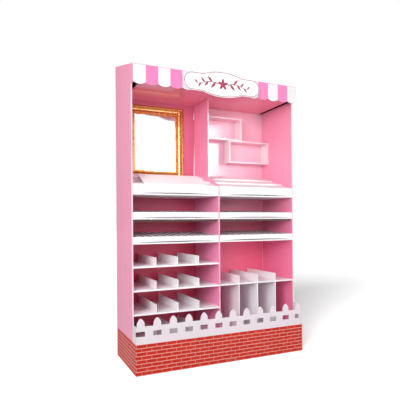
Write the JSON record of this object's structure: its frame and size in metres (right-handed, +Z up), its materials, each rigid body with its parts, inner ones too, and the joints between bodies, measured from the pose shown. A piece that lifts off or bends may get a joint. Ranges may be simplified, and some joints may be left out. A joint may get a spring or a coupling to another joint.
{
  "type": "display stand",
  "caption": "Free-standing card display stand: shelved bays, trays and dividers under a striped scalloped canopy, on a brick-print plinth with a picket fence.",
  "frame": {"origin": "centre of the stand's footprint, on the floor", "axes": "+Z up, +X to the right of someone facing the stand, -Y towards that person"},
  "size_m": [1, 0.415, 1.666],
  "materials": {
    "wall_pink": "pink printed board, gloss laminated",
    "board_pink": "pink printed board, gloss laminated",
    "cubby_pink": "pink printed board with white edges",
    "white_card": "white coated card, satin",
    "fence_card": "white coated card, die cut",
    "valance_print": "white and pink stripes printed on card",
    "plaque_board": "white board with a printed outline",
    "foam_pad": "white foam",
    "brick_print": "red brick pattern printed on card",
    "gold_frame": "gold foil on a moulded frame",
    "mirror": "clear mirror sheet",
    "bare_card": "unprinted corrugated board"
  },
  "bodies": {
    "root": {"left_side_panel": "wall_pink", "right_side_panel": "wall_pink", "back_panel": "board_pink", "centre_divider": "board_pink", "ceiling_panel": "board_pink", "canopy_roof": "board_pink", "striped_valance": "valance_print", "header_plaque": "plaque_board", "plaque_pad": "foam_pad", "plinth_sleeve": "brick_print", "plinth_deck": "white_card", "picket_fence": "fence_card", "base_rib_1": "bare_card", "base_rib_2": "bare_card", "base_rib_3": "bare_card", "mirror_frame": "gold_frame", "mirror_sheet": "mirror", "upper_cubby": "cubby_pink", "lower_cubby": "cubby_pink", "show_card": "white_card", "left_riser": "white_card", "right_riser": "white_card", "left_shelf_1": "white_card", "left_shelf_2": "white_card", "left_shelf_3": "white_card", "right_shelf_1": "white_card", "right_shelf_2": "white_card", "right_shelf_3": "white_card", "left_tray_2": "white_card", "left_tray_3": "white_card", "right_tray_2": "white_card", "right_tray_3": "white_card", "left_stiffener": "bare_card", "right_stiffener": "bare_card", "left_shelf_4": "white_card", "left_shelf_5": "white_card", "left_shelf_6": "white_card", "right_shelf_4": "white_card", "left_shelf_4_divider_1": "white_card", "left_shelf_4_divider_2": "white_card", "left_shelf_4_divider_3": "white_card", "left_shelf_5_divider_1": "white_card", "left_shelf_5_divider_2": "white_card", "left_shelf_5_divider_3": "white_card", "left_shelf_6_divider_1": "white_card", "left_shelf_6_divider_2": "white_card", "left_shelf_6_divider_3": "white_card", "left_deck_divider_1": "white_card", "left_deck_divider_2": "white_card", "left_deck_divider_3": "white_card", "right_divider_1": "white_card", "right_divider_2": "white_card", "right_divider_3": "white_card", "tall_partition_1": "white_card", "tall_partition_2": "white_card", "tall_partition_3": "white_card"}
  },
  "joints": []
}
